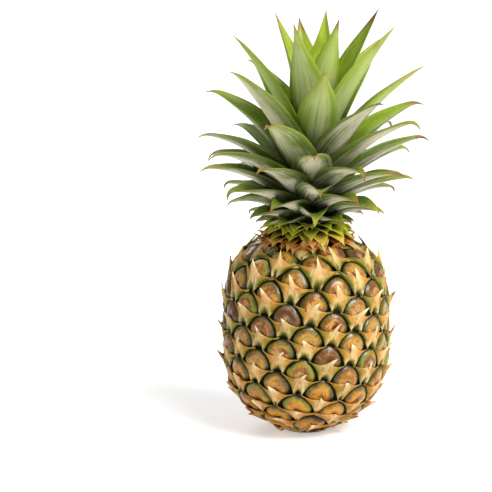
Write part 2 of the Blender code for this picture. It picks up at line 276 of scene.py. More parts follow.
@dataclass(frozen=True)
class DomeFinish:
    """The waxy domes: tan, amber and orange brown in the middle, olive round it, dark at the rim, with a
    painted highlight on the upper right and painted shade in the groove round it.
    """

    # Near-black painted shade in the groove round each dome.
    groove_shade: Colour = (0.012, 0.009, 0.001)
    rim: Colour = (0.026, 0.022, 0.002)
    olive: Colour = (0.080, 0.075, 0.004)
    moss: Colour = (0.230, 0.210, 0.010)
    green: Colour = (0.150, 0.210, 0.006)
    tan: Colour = (0.440, 0.240, 0.045)
    peach: Colour = (0.660, 0.450, 0.200)
    golden: Colour = (0.470, 0.200, 0.006)
    amber: Colour = (0.620, 0.250, 0.006)
    orange: Colour = (0.310, 0.100, 0.010)
    russet: Colour = (0.085, 0.022, 0.006)
    violet: Colour = (0.080, 0.034, 0.014)
    # Painted highlight tinted like wax bloom, near the rim on the side facing the main light.
    bloom: Colour = (0.400, 0.290, 0.190)

    def make(self) -> bpy.types.Material:
        """Makes the material from each point's east, north and share of the way to the border.

        Returns:
            The material.
        """
        shader = Shader("waxy_dome", specular=0.22, coat_roughness=0.11)
        east, north, share = shader.attribute("place")
        tone, ripeness, number = shader.attribute("kind")
        patches = shader.noise(230.0)
        clouds = shader.noise(1.5, where=(east + number * 7.0, north, tone * 9.0))
        bands = shader.noise(2.1, where=(east * 0.7 + number * 31.0, north * 0.7, share * 1.3))
        turn = north.direction(east) / (2 * pi)
        streaks = shader.noise(1.0, 2.0, (turn * 46.0, share * 2.5, number * 5.0))
        swirl = (turn * 3.0 + share * 0.5 + clouds * 1.5 + patches * 0.4 + number * 3.0).fraction()
        crease = swirl.step(0.18, 0.0) * share.step(0.84, 0.40) * share.step(0.03, 0.14)
        wander = share + (clouds - 0.5) * 0.60 + (patches - 0.5) * 0.25
        shade = bands * 1.2 + tone * 0.62 - 0.33
        browns = (0.40, self.golden), (0.50, self.tan), (0.62, self.orange), (0.80, self.russet)
        inner = shader.layers(
            shader.ramp(shade, (0.28, self.moss), *browns),
            (share.step(0.45, 0.05) * number.step(0.15, 0.7) * 0.8, self.peach),
            (ripeness.step(0.50, 0.05) * (0.35 + clouds * 0.7), self.amber),
        )
        outer = shader.layers(
            self.olive,
            ((tone * 0.6 + clouds * 0.8).step(0.55, 1.0), self.violet),
            (ripeness.step(0.30, 0.0) * 0.6, self.golden),
            (number.step(0.80, 0.90) * ripeness.step(-0.2, 0.2), self.green),
        )
        # Painted highlight: a band near the rim on the upper right, the side that faces the main light.
        sheen = (north * 0.75 + east * 0.45).step(0.10, 0.75) * bands.step(0.40, 0.60)
        bloom = share.step(0.55, 0.74) * share.step(0.90, 0.80) * sheen
        colour = shader.layers(
            inner,
            (wander.step(0.48, 0.80), outer),
            (wander.step(0.72, 0.96), self.rim),
            # Painted highlight near the rim, fainter on the lowest eyes.
            (bloom * ripeness.step(-0.1, 0.5) * 0.34, self.bloom),
            (streaks.step(0.46, 0.80) * 0.28, self.tan),
            (streaks.step(0.46, 0.22) * 0.42, self.russet),
            (crease * clouds.step(0.35, 0.60) * 0.7, self.russet),
            # Painted shade: near-black groove round the dome, wider on its upper side.
            ((share + north * 0.06).step(0.86, 1.0), self.groove_shade),
        )
        height = streaks * 0.35 + swirl * share.step(0.80, 0.40) * 1.2 + patches * 0.5
        coat = ripeness.step(-0.2, 0.6) * 0.34
        return shader.finish(colour, height, 0.0010, roughness=0.26 + patches * 0.22, coat_weight=coat)


@dataclass(frozen=True)
class StarFinish:
    """The star-shaped bracts: golden, with cream fibres that fan out from the spine and green margins, a
    painted highlight along the upper edge and painted shade along the lower border.
    """

    cream: Colour = (0.725, 0.500, 0.225)
    pale: Colour = (0.890, 0.745, 0.480)
    peach: Colour = (0.500, 0.235, 0.055)
    tan: Colour = (0.300, 0.165, 0.028)
    golden: Colour = (0.420, 0.175, 0.010)
    brown: Colour = (0.120, 0.040, 0.006)
    rust: Colour = (0.330, 0.110, 0.008)
    yellow_green: Colour = (0.200, 0.195, 0.010)
    green: Colour = (0.050, 0.085, 0.005)
    # Near-black painted shade along the bract's lower border, where it meets the grooves.
    dark: Colour = (0.028, 0.024, 0.002)

    def make(self) -> bpy.types.Material:
        """Makes the material from each point's share from arm to arm and from foot to edge, and its ridges'
        pale share, which along the upper edge is a painted highlight.

        Returns:
            The material.
        """
        shader = Shader("star_bract", specular=0.15)
        # The third number is the pale share; along the upper edge it is a painted highlight.
        across, up, ridge = shader.attribute("place")
        tone, ripeness, number = shader.attribute("kind")
        patches = shader.noise(260.0, 4.0)
        fan = across / (1.12 - up * 0.86)
        clouds = shader.noise(1.6, where=(across * 1.5 + number * 40.0, up * 1.1, tone * 7.0))
        fibres = shader.noise(1.0, 4.0, (fan * 7.0, up * 1.1, number * 9.0))
        mottle = clouds * 1.2 + (tone - 0.5) * 0.40 + (patches - 0.5) * 0.35 - 0.1
        stops = (0.30, self.peach), (0.44, self.golden), (0.58, self.tan), (0.72, self.yellow_green)
        off = across.size()
        greenness = ripeness * 0.52 - 0.12 + off.step(0.30, 0.55) * 0.20
        greenness = greenness + (clouds - 0.5) * 1.1 + (patches - 0.5) * 0.3
        # Cream where pale: the bract's own fibres, and a painted highlight along its upper edge.
        light = (ridge + (patches - 0.5) * 0.7 + (clouds - 0.5) * 0.9).step(0.12, 0.80)
        colour = shader.layers(
            shader.ramp(mottle, *stops),
            (ripeness.step(0.55, 0.0) * (0.35 + clouds * 0.5), self.rust),
            ((up - greenness).step(0.46, 0.0) * 0.85, self.yellow_green),
            ((up - greenness).step(0.22, -0.10) * 0.90, self.green),
            (off.step(0.60, 0.98) * (0.10 + ripeness * 0.65), self.yellow_green),
            (light * (0.95 - tone * 0.35), self.cream),
            (fibres.step(0.52, 0.76) * (0.12 + light * 0.30), self.pale),
            (fibres.step(0.46, 0.26) * 0.34, self.brown),
            (patches.step(0.42, 0.28) * 0.5, self.brown),
            (ridge.step(0.72, 1.0) * 0.6, self.pale),
            # Painted shade: near-black along the lowest part, where the feet sink into the grooves.
            (up.step(0.18, 0.0) * 0.85, self.dark),
        )
        height = fibres * 0.8 + patches * 0.6
        return shader.finish(colour, height, 0.0007, roughness=0.50 + patches * 0.22)


@dataclass(frozen=True)
class LeafFinish:
    """The crown's leaves: green, with a grey bloom on their outer faces, yellow edges, dry tips and painted
    shade at their bases.
    """

    bright: Colour = (0.330, 0.480, 0.020)
    green: Colour = (0.070, 0.140, 0.010)
    # Painted shade at the leaves' bases, where they overlap.
    deep: Colour = (0.008, 0.020, 0.003)
    bloom: Colour = (0.640, 0.580, 0.450)
    bloom_green: Colour = (0.105, 0.150, 0.025)
    edge: Colour = (0.270, 0.270, 0.025)
    yellow: Colour = (0.420, 0.320, 0.030)
    dry: Colour = (0.220, 0.075, 0.020)

    def make(self) -> bpy.types.Material:
        """Makes the material from each point's share along the leaf, its place across, and its face.

        Returns:
            The material.
        """
        shader = Shader("crown_leaf", specular=0.4, coat_weight=0.08, coat_roughness=0.3)
        along, across, outer = shader.attribute("place")
        tone, order, number = shader.attribute("kind")
        off = across.size()
        patches, specks = shader.noise(90.0), shader.noise(700.0, 2.0)
        veins = shader.noise(1.0, where=(across * 11.0, along * 0.8, number * 30.0))
        clouds = shader.noise(1.3, where=(across * 0.9, along * 2.5, number * 17.0))
        inner = shader.layers(
            self.green,
            (order.step(0.50, 0.95), self.bright),
            (veins.step(0.35, 0.75) * 0.45, self.bright),
            ((clouds + patches * 0.4).step(0.58, 0.82) * 0.45, self.green),
            # Painted shade towards the leaf's base.
            (along.step(0.56, 0.05) * 0.88, self.deep),
        )
        fresh = (order + tone * 0.16 - 0.08).step(0.68, 0.95) * (0.35 + along * 0.60)
        wax = shader.layers(
            self.bloom_green,
            ((clouds * 0.6 + veins * 0.5 - off**2.0 * 0.34).step(0.28, 0.58), self.bloom),
            (fresh, self.bright),
            # Painted shade towards the leaf's base.
            ((along + (clouds - 0.5) * 0.2).step(0.40, 0.03) * 0.88, self.deep),
        )
        mottle = (patches * 0.6 + specks * 0.4).step(0.50, 0.60) * along.step(0.30, 0.70)
        margin = (off + (patches - 0.5) * 0.16).step(0.84, 1.0)
        far = along + (clouds - 0.5) * 0.22 + off * 0.06
        colour = shader.layers(
            inner,
            (outer, wax),
            (specks.step(0.58, 0.72) * 0.25, self.bloom),
            (mottle * (1.1 - outer * 0.6) * 0.4, self.edge),
            (margin * (0.12 + tone * 0.3), self.edge),
            (far.step(0.64, 0.98) * (0.20 + tone * 0.5), self.edge),
            (far.step(0.76, 1.00) * tone.step(0.4, 1.0) * 0.5, self.yellow),
            ((far + number * 0.17).step(1.01, 1.12) * 0.9, self.dry),
            (patches.step(0.64, 0.72) * along.step(0.5, 0.8) * 0.25, self.dry),
        )
        rough = 0.40 + outer * 0.16 + patches * 0.08
        return shader.finish(colour, veins * 0.6 + patches * 0.3, 0.00035, roughness=rough)


@dataclass(frozen=True)
class PaperFinish:
    """The neck's small bracts: lime green where fresh, orange brown and papery where dry."""

    lime: Colour = (0.520, 0.560, 0.030)
    green: Colour = (0.120, 0.170, 0.012)
    orange: Colour = (0.520, 0.170, 0.022)
    brown: Colour = (0.085, 0.024, 0.008)
    pale: Colour = (0.620, 0.340, 0.130)

    def make(self) -> bpy.types.Material:
        """Makes the material from each point's share along, its place across, and how dry the bract is.

        Returns:
            The material.
        """
        shader = Shader("papery_bract", specular=0.3)
        along, across, _ = shader.attribute("place")
        dryness, tone, number = shader.attribute("kind")
        patches = shader.noise(190.0)
        fibres = shader.noise(1.0, where=(across * 14.0, along * 1.2, number * 30.0))
        fresh = shader.layers(
            self.lime,
            ((along * 0.9 + tone * 0.7 + patches * 0.5).step(1.20, 0.50), self.green),
            (along.step(0.86, 1.0) * 0.7, self.orange),
        )
        age = along + (patches - 0.5) * 0.6 + (tone - 0.5) * 0.5
        colour = shader.layers(
            fresh,
            (dryness, shader.ramp(age, (0.10, self.brown), (0.50, self.orange), (1.0, self.pale))),
            (fibres.step(0.50, 0.75) * 0.35, self.pale),
            (fibres.step(0.45, 0.25) * 0.45, self.brown),
        )
        height = fibres * 0.7 + patches * 0.3
        return shader.finish(colour, height, 0.0004, roughness=0.5 + patches * 0.2)


@dataclass(frozen=True)
class SkinFinish:
    """The skin at the bottom of the grooves, near-black as painted shade, and the dry rings at the foot and
    round the neck.
    """

    # Near-black painted shade at the bottom of the grooves.
    groove_shade: Colour = (0.020, 0.015, 0.002)
    bark: Colour = (0.170, 0.095, 0.040)

    def make(self) -> bpy.types.Material:
        """Makes the material from how barky each point is.

        Returns:
            The material.
        """
        shader = Shader("groove_skin", specular=0.1, roughness=0.7)
        patches = shader.noise(260.0, 4.0)
        share = shader.attribute("place")[0] * patches.step(0.3, 0.6)
        # Painted shade in the grooves, under the dry rings' bark.
        return shader.finish(shader.layers(self.groove_shade, (share, self.bark)), patches, 0.0006)


@dataclass(frozen=True)
class StalkFinish:
    """The stalk's dry cut end: pale fibre ends between darker pith."""

    fibre: Colour = (0.620, 0.480, 0.270)
    pith: Colour = (0.300, 0.180, 0.080)

    def make(self) -> bpy.types.Material:
        """Makes the material.

        Returns:
            The material.
        """
        shader = Shader("cut_stalk_fibres", roughness=0.8)
        ends, rings = shader.noise(900.0, 2.0), shader.noise(160.0)
        share = (ends * 0.6 + rings * 0.4).step(0.42, 0.58)
        return shader.finish(shader.layers(self.pith, (share, self.fibre)), ends, 0.0005)


# Meshes


def add_object(name: str, data: Any) -> bpy.types.Object:
    """Adds an object to the scene.

    Args:
        name: Its name.
        data: The mesh, lamp or camera that it shows.

    Returns:
        The object.
    """
    made = bpy.data.objects.new(name, data)
    bpy.context.scene.collection.objects.link(made)
    return made


def stacked(*values: Any) -> np.ndarray:
    """Values as the last axis of one array, each repeated to the shape of all."""
    return np.stack(np.broadcast_arrays(*values), axis=-1)


def turned(angle: np.ndarray, *rings: Pair) -> np.ndarray:
    """Rings round the axis as rows of points, each ring from its radius and its height."""
    radius, z = np.array(rings).T[..., None]
    return stacked(radius * np.cos(angle), radius * np.sin(angle), z)


def round_turn(sides: int) -> np.ndarray:
    """Even angles round the axis, as one row."""
    return np.linspace(0, 2 * pi, sides, endpoint=False)[None, :]


def smooth_step(x: Any, low: float, high: float) -> Any:
    """A smooth rise from 0 at one value to 1 at another."""
    t = np.clip((x - low) / (high - low), 0.0, 1.0)
    return t * t * (3 - 2 * t)


def hill(x: Any, width: float) -> Any:
    """A smooth hill that is 1 high at 0 and about a third as high at its width."""
    return np.exp(-((x / width) ** 2))


def ripples(angle: np.ndarray, rng: np.random.Generator, *waves: Pair) -> np.ndarray:
    """Waves round a turn, each from its height and how many there are, that start at random."""
    return sum(height * np.sin(count * angle + rng.uniform(0, 6)) for height, count in waves)


def vary(rng: np.random.Generator, spread: float) -> float:
    """A random number within a spread on either side of 0."""
    return rng.uniform(-spread, spread)


def smooth_curve(points: Any, steps: int) -> np.ndarray:
    """A smooth curve through points, whose slope at each follows its two neighbours.

    Args:
        points: The points that it passes.
        steps: How many points it gets from each of them to the next.

    Returns:
        The curve's points as rows.
    """
    p = np.array(points, float)
    padded = np.vstack([2 * p[0] - p[1], p, 2 * p[-1] - p[-2]])
    t = np.arange(steps)[:, None] / steps
    spans = []
    for a, b, c, d in zip(padded, padded[1:], padded[2:], padded[3:]):
        curve = 2 * b + (c - a) * t + (2 * a - 5 * b + 4 * c - d) * t**2 + (3 * b - a - 3 * c + d) * t**3
        spans.append(0.5 * curve)
    return np.vstack([*spans, p[-1:]])


class SheetMesh:
    """Gathers grids of points into one mesh. Each point keeps two triples of numbers for its finish."""

    def __init__(self, name: str) -> None:
        """Starts an empty mesh of this name."""
        self.name = name
        self.points: list[np.ndarray] = []
        self.place: list[np.ndarray] = []
        self.kind: list[np.ndarray] = []
        self.faces: list[list[int]] = []
        self.count = 0

    def add(
        self, grid: np.ndarray, place: np.ndarray, kind: Triple, closed: bool = False, cap: Cap = Cap.NONE
    ) -> None:
        """Adds a grid whose faces look to the side from which its rows run left to right, upwards.

        Args:
            grid: Points, as rows by columns by 3.
            place: What each point knows of its own place, in the same form.
            kind: What the whole grid shares.
            closed: Whether each row closes into a ring.
            cap: Which row gets a face of its own.
        """
        rows, columns = grid.shape[:2]
        index = self.count + np.arange(rows * columns).reshape(rows, columns)
        ring = np.hstack([index, index[:, :1]]) if closed else index
        low, high = ring[:-1], ring[1:]
        quads = np.stack([low[:, :-1], low[:, 1:], high[:, 1:], high[:, :-1]], axis=-1)
        self.faces.extend(quads.reshape(-1, 4).tolist())
        if cap is Cap.FIRST:
            self.faces.append(index[0, ::-1].tolist())
        elif cap is Cap.LAST:
            self.faces.append(index[-1].tolist())
        self.points.append(grid.reshape(-1, 3))
        self.place.append(place.reshape(-1, 3))
        self.kind.append(np.tile(kind, (rows * columns, 1)))
        self.count += rows * columns

    def finish(self, material: bpy.types.Material, slot: Slot, *replaced: Node) -> None:
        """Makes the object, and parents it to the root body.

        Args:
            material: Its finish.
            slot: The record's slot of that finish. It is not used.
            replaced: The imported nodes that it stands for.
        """
        mesh = bpy.data.meshes.new(self.name)
        mesh.from_pydata(np.vstack(self.points).tolist(), [], self.faces)
        for name, rows in (("place", self.place), ("kind", self.kind)):
            made = mesh.attributes.new(name, "FLOAT_VECTOR", "POINT")
            made.data.foreach_set("vector", np.vstack(rows).astype(np.float32).ravel())
        mesh.shade_smooth()
        mesh.materials.append(material)
        piece = add_object(self.name, mesh)
        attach(piece, ROOT_BODY)
        if replaced:
            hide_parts(*(node.value for node in replaced))
        log.info("%s: %d points, %d faces", self.name, self.count, len(self.faces))


# The fruit


@dataclass
class Skin:
    """The turned surface under the eyes, from the foot's edge to the top's."""

    profile: tuple[Pair, ...] = (
        (0.0, 0.0165),
        (0.0045, 0.0195),
        (0.0081, 0.0250),
        (0.0122, 0.0325),
        (0.0204, 0.0420),
        (0.0342, 0.0518),
        (0.0535, 0.0578),
        (0.0830, 0.0586),
        (0.1080, 0.0566),
        (0.1260, 0.0508),
        (0.1340, 0.0425),
        (0.1390, 0.0330),
        (0.1418, 0.0245),
    )
    steps: int = 40
    slope_step: float = 0.0004

    def __post_init__(self) -> None:
        """Measures the surface along its meridian."""
        self.z, self.r = smooth_curve(self.profile, self.steps).T
        step = np.hypot(np.diff(self.z), np.diff(self.r))
        middle = (self.r[1:] + self.r[:-1]) / 2
        self.s, self.area, self.rises = (
            np.concatenate([[0], np.cumsum(part)]) for part in (step, step * middle, step / middle)
        )
        self.length = float(self.s[-1])

    def radius(self, s: Any) -> Any:
        """The radius at a distance along the meridian."""
        return np.interp(s, self.s, self.r)

    def height(self, s: Any) -> Any:
        """The height over the foot at a distance along the meridian."""
        return np.interp(s, self.s, self.z)

    def rise(self, s: Any) -> Any:
        """Height on a map of the skin that keeps its angles, as a sea chart does."""
        return np.interp(s, self.s, self.rises)

    def surface(self, s: np.ndarray, angle: np.ndarray, height: Any) -> np.ndarray:
        """Points over the skin.

        Args:
            s: Distances along the meridian.
            angle: Angles round the axis.
            height: Heights over the skin.

        Returns:
            The points, with x, y and z as the last axis.
        """
        before, after = s - self.slope_step, s + self.slope_step
        dr, dz = self.radius(after) - self.radius(before), self.height(after) - self.height(before)
        size = np.hypot(dr, dz)
        far = self.radius(s) + height * dz / size
        up = np.maximum(0.0, self.height(s) - height * dr / size)
        return stacked(far * np.cos(angle), far * np.sin(angle), up)


@dataclass(frozen=True)
class Border:
    """How far a piece of an eye reaches, as shares of the way to the cell's border."""

    upper_corner: float
    lower_corner: float
    side: float
    bulge: float
    rounding: float = 0.0
    upper_span: Pair = (0.25, 0.55)

    def corner(self, point: np.ndarray) -> float:
        """The share at a corner of the cell."""
        up = smooth_step(point[1] / np.hypot(*point), *self.upper_span)
        return float(self.lower_corner + (self.upper_corner - self.lower_corner) * up)


class Outline:
    """A closed line round an eye's middle, as distances against directions."""

    directions = 120
    overshoot = 1.06

    def __init__(self, points: np.ndarray, rounding: float) -> None:
        """Measures the line's points.

        Args:
            points: The line, as rows of east and north.
            rounding: Over how many radians its corners are rounded off.
        """
        turns = np.arctan2(points[:, 1], points[:, 0])
        order = np.argsort(turns)
        self.angles, self.radii = turns[order], np.hypot(*points.T)[order]
        if rounding:
            angles = np.linspace(-pi, pi, self.directions, endpoint=False)
            radii = self.reach(angles)
            weights = hill(angles - angles[self.directions // 2], rounding)
            spectrum = np.fft.rfft(radii) * np.fft.rfft(np.fft.ifftshift(weights / weights.sum()))
            smooth = np.fft.irfft(spectrum, self.directions)
            self.angles, self.radii = angles, np.minimum(smooth, radii * self.overshoot)

    def reach(self, angle: Any) -> Any:
        """The distance in a direction from the east, in radians."""
        wrapped = (np.asarray(angle) + pi) % (2 * pi) - pi
        return np.interp(wrapped, self.angles, self.radii, period=2 * pi)


class Eye:
    """One fruitlet's cell: its middle, and its border with its neighbours on the skin's map."""

    near = 0.054
    full_radius = 0.0108
    full_bulge = full_radius / 1.4
    rim_margin = 0.0036
    fade = 0.018
    side_steps = 12
    shortest_side = 1e-6
    parallel = 1e-4
    slack = 1e-7

    def __init__(self, skin: Skin, number: int, eyes: int, first: float) -> None:
        """Places the eye on the spiral.

        Args:
            skin: The surface that it sits on.
            number: Its number, counted from the foot.
            eyes: How many there are.
            first: The angle of the first.
        """
        self.skin = skin
        self.order = (number + 0.5) / eyes
        self.s = float(np.interp(self.order * skin.area[-1], skin.area, skin.s))
        self.angle = (first + number * GOLDEN_TURN) % (2 * pi)
        self.scale = float(skin.radius(self.s))
        self.rise = float(skin.rise(self.s))

    def find_border(self, eyes: list["Eye"]) -> None:
        """Finds the cell's corners, and its size as a share of a full eye's.

        Args:
            eyes: All eyes, this one included.
        """
        skin = self.skin
        top, foot = skin.rise(skin.length - self.rim_margin), skin.rise(self.rim_margin)
        lines = [(0.0, 1.0, self.scale * (top - self.rise)), (0.0, -1.0, self.scale * (self.rise - foot))]
        for other in eyes:
            turn = (other.angle - self.angle + pi) % (2 * pi) - pi
            x, y = self.scale * turn, self.scale * (other.rise - self.rise)
            far = hypot(x, y)
            if 0 < far < self.near:
                lines.append((x / far, y / far, far / 2))
        corners = []
        for (ax, ay, a), (bx, by, b) in combinations(lines, 2):
            cross = ax * by - ay * bx
            if abs(cross) > self.parallel:
                x, y = (a * by - b * ay) / cross, (ax * b - bx * a) / cross
                if all(x * nx + y * ny < far + self.slack for nx, ny, far in lines):
                    corners.append((x, y))
        self.corners = sorted(corners, key=lambda c: atan2(c[1], c[0]))
        radius = sum(hypot(*c) for c in self.corners) / len(self.corners)
        end = min(self.s, skin.length - self.s)
        self.size = min(1.0, radius / self.full_radius, end / self.fade)

    def border(self, shape: Border) -> Outline:
        """The closed line that one piece of the eye reaches to.

        Args:
            shape: How far it reaches at the corners and the sides.

        Returns:
            The outline.
        """
        t = (np.arange(self.side_steps) / self.side_steps)[:, None]
        found = []
        for a, b in zip(self.corners, self.corners[1:] + self.corners[:1]):
            a, b = np.array(a), np.array(b)
            side = max(self.shortest_side, hypot(*(b - a)))
            bulge = shape.bulge * (a[0] - b[0]) / side * min(1.0, side / self.full_bulge)
            ends = shape.corner(a) + (shape.corner(b) - shape.corner(a)) * t
            share = ends + (shape.side + bulge - ends) * 4 * t * (1 - t)
            found.append((a + (b - a) * t) * share)
        return Outline(np.vstack(found), shape.rounding)

    def corner(self, degrees: float) -> np.ndarray:
        """The corner nearest to a direction from the east."""
        x, y = cos(radians(degrees)), sin(radians(degrees))
        return np.array(max(self.corners, key=lambda c: (c[0] * x + c[1] * y) / hypot(*c)))

    def surface(self, east: np.ndarray, north: np.ndarray, height: np.ndarray) -> np.ndarray:
        """Points of the eye as they stand on the fruit."""
        s = np.interp(self.rise + north / self.scale, self.skin.rises, self.skin.s)
        return self.skin.surface(s, self.angle + east / self.scale, height * self.size)


@dataclass
class Dome:
    """The waxy cushion of an eye, with a hollow in its middle, small folds and a steep rim."""

    border: Border = Border(0.925, 0.93, 0.965, 0.15, 0.48)
    rings: int = 15
    sides: int = 52
    innermost: float = 0.03
    crowding: float = 1.25
    height: float = 0.0042
    height_range: Pair = (0.85, 1.12)
    height_waves: tuple[Pair, ...] = ((0.02, 2), (0.015, 5))
    reach_waves: tuple[Pair, ...] = ((0.025, 2), (0.02, 3))
    reach_loss: float = 0.02
    steep: float = 3.2
    roundness: float = 0.62
    lower_side: float = 0.30
    hollow: float = 0.0013
    hollow_width: float = 0.36
    fold: float = 0.00035
    sunk: float = 0.0006
    rim_flare: float = 1.02

    def add(self, mesh: SheetMesh, cell: Eye, kind: Triple, rng: np.random.Generator) -> None:
        """Adds one eye's dome.

        Args:
            mesh: What it is added to.
            cell: The eye.
            kind: The eye's tone, order and random number.
            rng: The source of its small irregularities.
        """
        angle = np.linspace(-pi, pi, self.sides, endpoint=False)[None, :]
        share = 1 - (1 - np.linspace(self.innermost, 1.0, self.rings)[:, None]) ** self.crowding
        outline = cell.border(self.border)
        unit = float(outline.reach(pi / 2))
        reach = outline.reach(angle) * (1 + ripples(angle, rng, *self.reach_waves) - self.reach_loss)
        wave = rng.uniform(*self.height_range) + ripples(angle, rng, *self.height_waves)
        east, north = reach * share * np.cos(angle), reach * share * np.sin(angle)
        height = self.height * (1 - share**self.steep) ** self.roundness * wave
        height = height * (1 - self.lower_side * smooth_step(-np.sin(angle), 0.0, 1.0))
        height = height - self.hollow * hill(share, self.hollow_width)
        folds = np.sin(3 * angle + 4 * share + rng.uniform(0, 6))
        height = height + self.fold * share * folds * (1 - share**4)
        grid = cell.surface(
            np.vstack([east, east[-1:] * self.rim_flare]),
            np.vstack([north, north[-1:] * self.rim_flare]),
            np.vstack([height, np.full_like(angle, -self.sunk)]),
        )
        place = stacked(east / unit, north / unit, share)
        place = np.vstack([place, place[-1:]])
        mesh.add(grid[:, ::-1], place[:, ::-1], kind, closed=True, cap=Cap.FIRST)


@dataclass
class StarBract:
    """The bract over the lower half of an eye: two arms, two feet, and a spine that curves upwards."""

    border: Border = Border(0.97, 1.08, 1.0, 0.12)
    middle_columns: int = 27
    side_columns: int = 14
    column_crowding: float = 1.5
    rows: int = 12
    row_crowding: float = 1.3
    foot_place: float = 0.42
    foot_width: float = 0.12
    arms: Pair = (172.0, -8.0)
    feet: Pair = (236.0, 292.0)
    sag: float = 0.07
    sag_range: Pair = (-0.06, 0.08)
    face: float = 0.0034
    edge: float = 0.0047
    arm_height: float = 0.0024
    arm_fall: float = 2.4
    foot_height: float = 0.0008
    foot_rise: float = 0.0023
    height_range: Pair = (0.90, 1.08)
    flare: float = 0.09
    flare_width: float = 0.30
    dip: float = 0.07
    ridge: float = 0.0009
    ridge_lean: float = 0.34
    ridge_width: float = 0.13
    crest_light: float = 0.60
    crest_width: float = 0.19
    middle_light: float = 0.62
    middle_width: float = 0.40
    # A painted highlight along the upper edge, where light catches it.
    edge_highlight: float = 0.55
    keel: float = 0.0005
    keel_width: float = 0.12
    ripple: float = 0.0005
    spine_width: float = 0.17
    spine_reach: float = 0.37
    spine_range: Pair = (0.45, 1.15)
    spine_height: float = 0.0080
    spine_taper: float = 2.6
    spine_lean: float = 0.42
    foot_spines: float = 0.40
    full_spines: float = 0.30
    lip: float = 0.0011
    lip_gap: float = 0.0002
    under_back: float = 0.0016
    under_drop: float = 0.0008
    under_share: float = 0.98

    def columns(self) -> np.ndarray:
        """Gives places from the left arm, at -1, to the right arm, at 1, closest at the spine.

        Returns:
            The places, as one row.
        """
        q = np.linspace(-1, 1, self.middle_columns)
        middle = self.foot_place * np.sign(q) * np.abs(q) ** self.column_crowding
        side = np.linspace(self.foot_place, 1, self.side_columns)[1:]
        return np.concatenate([-side[::-1], middle, side])[None, :]

    def add(self, mesh: SheetMesh, cell: Eye, kind: Triple, rng: np.random.Generator) -> None:
        """Adds one eye's bract.

        Args:
            mesh: What it is added to.
            cell: The eye.
            kind: The eye's tone, order and random number.
            rng: The source of its lean and length.
        """
        across = self.columns()
        off = np.abs(across)
        up = np.linspace(0, 1, self.rows)[:, None] ** self.row_crowding
        outline = cell.border(self.border)
        corners = [cell.corner(d) for d in (self.arms[0], *self.feet, self.arms[1])]
        turns = np.unwrap([atan2(c[1], c[0]) for c in corners])
        turns = np.where(turns < turns[0], turns + 2 * pi, turns)
        angle = np.interp(across, [-1, -self.foot_place, self.foot_place, 1], turns)
        low = stacked(np.cos(angle), np.sin(angle)) * outline.reach(angle)[..., None]
        high = low[:, :1] + (low[:, -1:] - low[:, :1]) * (across[..., None] + 1) / 2
        unit = float(outline.reach(pi / 2))
        grown = self.foot_spines + (1 - self.foot_spines) * min(1.0, kind[1] / self.full_spines)
        length = rng.uniform(*self.spine_range) * self.spine_reach * unit * grown
        tip = np.clip(1 - off / self.spine_width, 0, 1) ** self.spine_taper
        sag = (self.sag + rng.uniform(*self.sag_range)) * unit
        flare = self.flare * hill(across, self.flare_width) - self.dip * np.sin(pi * off)
        high[..., 1] += (length + sag) * tip - sag * (1 - across**2) + flare * unit * (1 - tip)
        high[..., 0] += vary(rng, self.spine_lean) * unit * tip**1.5
        east = low[..., 0] + (high[..., 0] - low[..., 0]) * up
        north = low[..., 1] + (high[..., 1] - low[..., 1]) * up
        foot = self.foot_height + self.foot_rise * hill(off - self.foot_place, self.foot_width)
        body = foot + (self.face - foot) * smooth_step(up, -0.02, 0.26)
        body = body + (self.edge - self.face) * smooth_step(up, 0.2, 1.0)
        fall = off**self.arm_fall
        height = body * (1 - fall) + (self.arm_height * np.sqrt(up) + self.foot_height) * fall
        beside = off - self.foot_place + self.ridge_lean * up
        ridge = self.ridge * (hill(beside, self.ridge_width) - 0.5) * (0.15 + up) ** 0.4
        height = height + ridge * (1.1 - up) * (1 - fall) + self.keel * hill(across, self.keel_width) * up
        height = height + (self.spine_height - self.edge) * grown * tip**0.8 * up**2.2
        height = height + self.ripple * np.sin(6 * across + rng.uniform(0, 6)) * up * (1 - off)
        height = height * rng.uniform(*self.height_range)
        lip_height = np.maximum(height[-1:] - self.lip, self.lip_gap)
        last_east, last_north = east[-1:], north[-1:]
        grid = [
            cell.surface(east, north, height),
            cell.surface(last_east, last_north - self.lip_gap, lip_height),
            cell.surface(
                last_east * self.under_share, last_north - self.under_back, lip_height - self.under_drop
            ),
        ]
        # Pale shares: spine, crests and middle are the bract's own cream; the last is a painted highlight.
        lights = [
            np.clip(tip * 1.8, 0, 1) * up,
            self.crest_light * hill(beside, self.crest_width) * (1 - up) ** 0.4,
            self.middle_light * hill(across, self.middle_width) * smooth_step(up, 0.05, 0.45),
            self.edge_highlight * smooth_step(up, 0.80, 1.0) * (1 - 0.6 * off),
        ]
        place = stacked(across, up, np.max(lights, axis=0))
        mesh.add(np.vstack(grid), np.vstack([place, place[-1:], place[-1:]]), kind)


